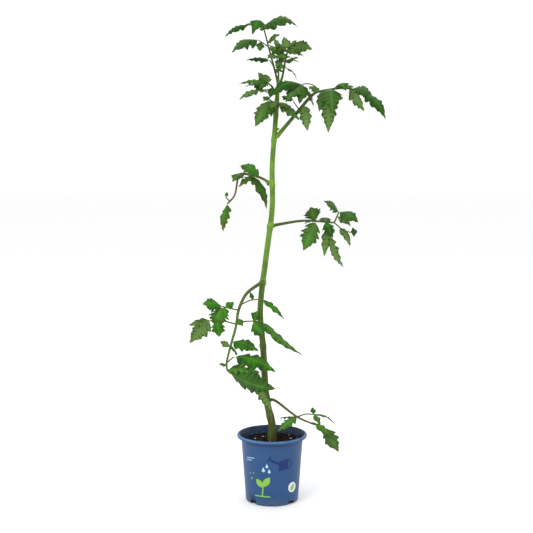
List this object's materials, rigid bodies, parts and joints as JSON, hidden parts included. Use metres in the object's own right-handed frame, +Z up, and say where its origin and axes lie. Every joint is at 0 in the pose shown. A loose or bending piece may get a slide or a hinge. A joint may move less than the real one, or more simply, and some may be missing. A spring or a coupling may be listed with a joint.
{
  "type": "tomato plant in a pot",
  "caption": "Young tomato plant with a tall leaning stem and lobed compound leaves, standing in a tapered round nursery pot filled with compost.",
  "frame": {"origin": "centre of the pot's flat base, on the surface that it stands on", "axes": "+Z up along the pot's axis, -Y towards the viewer, +X to the viewer's right"},
  "size_m": [0.3217, 0.1831, 0.8225],
  "materials": {
    "blue_plastic": "satin",
    "soil": "matte",
    "green_stem": "satin",
    "leaf_green": "satin"
  },
  "bodies": {
    "root": {"pot": "blue_plastic", "soil": "soil", "stem": "green_stem", "leaf_low_right": "leaf_green", "leaf_low_left": "leaf_green", "leaf_mid_right": "leaf_green", "leaf_mid_left": "leaf_green", "leaf_high_right": "leaf_green", "leaf_high_left": "leaf_green", "leaf_high_front": "leaf_green", "leaf_top_left": "leaf_green", "leaf_crown": "leaf_green", "leaf_young_right": "leaf_green", "shoot_tip": "leaf_green"}
  },
  "joints": []
}
